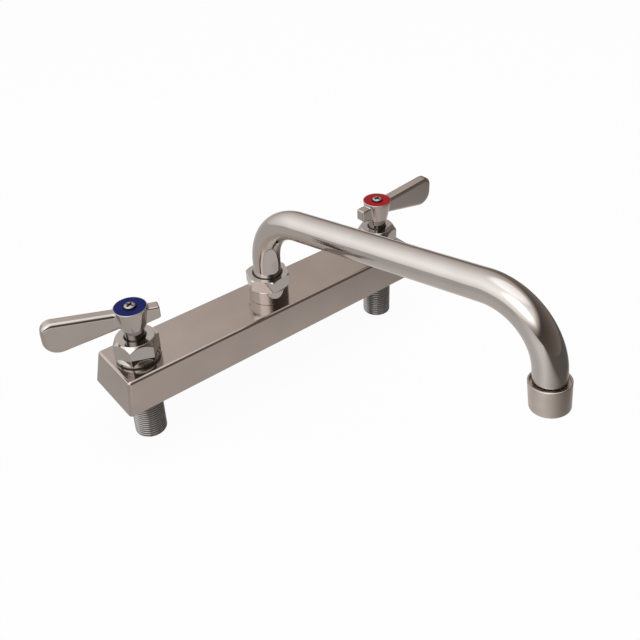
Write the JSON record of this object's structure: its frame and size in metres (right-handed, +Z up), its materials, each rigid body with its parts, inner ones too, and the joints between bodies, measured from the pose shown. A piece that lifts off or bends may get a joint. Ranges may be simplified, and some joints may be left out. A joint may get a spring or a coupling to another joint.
{
  "type": "deck-mount faucet",
  "caption": "Deck-mount faucet: a long drafted body on threaded shanks, a lever valve at each end and a swinging bent-tube spout with an aerator between them.",
  "frame": {"origin": "on the deck plane, half way between the two valve axes, at the middle of the body's underside", "axes": "+X along the body from the cold valve to the hot valve, -Y towards the user and the spout's outlet, +Z up from the deck"},
  "size_m": [0.3092, 0.2525, 0.157],
  "materials": {
    "body_steel": "polished stainless steel",
    "handle_steel": "polished stainless steel casting",
    "polished_nut": "mirror polished",
    "tube_steel": "polished stainless steel tube",
    "aerator_steel": "satin stainless steel",
    "shank_steel": "plain machined steel",
    "screw_steel": "plain machined steel",
    "spring_steel": "plain spring steel",
    "screen_steel": "woven wire",
    "brass": "machined",
    "plated_brass": "nickel plated and polished",
    "ceramic": "lapped",
    "blue_index": "gloss",
    "red_index": "gloss",
    "white_plastic": "moulded",
    "black_plastic": "moulded",
    "black_rubber": "moulded"
  },
  "bodies": {
    "faucet_body": {"body": "body_steel", "deck_gasket": "black_rubber", "cold_shank": "shank_steel", "hot_shank": "shank_steel", "cold_bonnet_washer": "black_rubber", "cold_bonnet_nut": "polished_nut", "cold_cartridge_housing": "plated_brass", "cold_housing_oring": "black_rubber", "cold_seat_seal": "black_rubber", "cold_fixed_disc": "ceramic", "hot_bonnet_washer": "black_rubber", "hot_bonnet_nut": "polished_nut", "hot_cartridge_housing": "plated_brass", "hot_housing_oring": "black_rubber", "hot_seat_seal": "black_rubber", "hot_fixed_disc": "ceramic", "spout_socket": "polished_nut", "spout_nut": "polished_nut", "spout_bushing": "black_plastic"},
    "cold_valve": {"cold_turning_disc": "ceramic", "cold_stem": "brass", "cold_stem_orings": "black_rubber", "cold_stem_clip": "spring_steel", "cold_handle": "handle_steel", "cold_index_disc": "blue_index", "cold_handle_screw": "screw_steel"},
    "hot_valve": {"hot_turning_disc": "ceramic", "hot_stem": "brass", "hot_stem_orings": "black_rubber", "hot_stem_clip": "spring_steel", "hot_handle": "handle_steel", "hot_index_disc": "red_index", "hot_handle_screw": "screw_steel"},
    "spout": {"spout_ferrule": "brass", "spout_orings": "black_rubber", "spout_tube": "tube_steel", "outlet_adapter": "brass", "aerator_washer": "black_rubber", "aerator_screen": "screen_steel", "aerator_insert": "white_plastic", "aerator_shell": "aerator_steel"}
  },
  "joints": [
    {"name": "cold_handle_turn", "type": "hinge", "parent": "faucet_body", "child": "cold_valve", "pos_m": [-0.1016, 0, 0.046], "axis": [0, 0, 1], "range_deg": [0, 90]},
    {"name": "hot_handle_turn", "type": "hinge", "parent": "faucet_body", "child": "hot_valve", "pos_m": [0.1016, 0, 0.046], "axis": [0, 0, -1], "range_deg": [0, 90]},
    {"name": "spout_swivel", "type": "hinge", "parent": "faucet_body", "child": "spout", "pos_m": [0, 0, 0.0416], "axis": [0, 0, 1], "continuous": true}
  ]
}
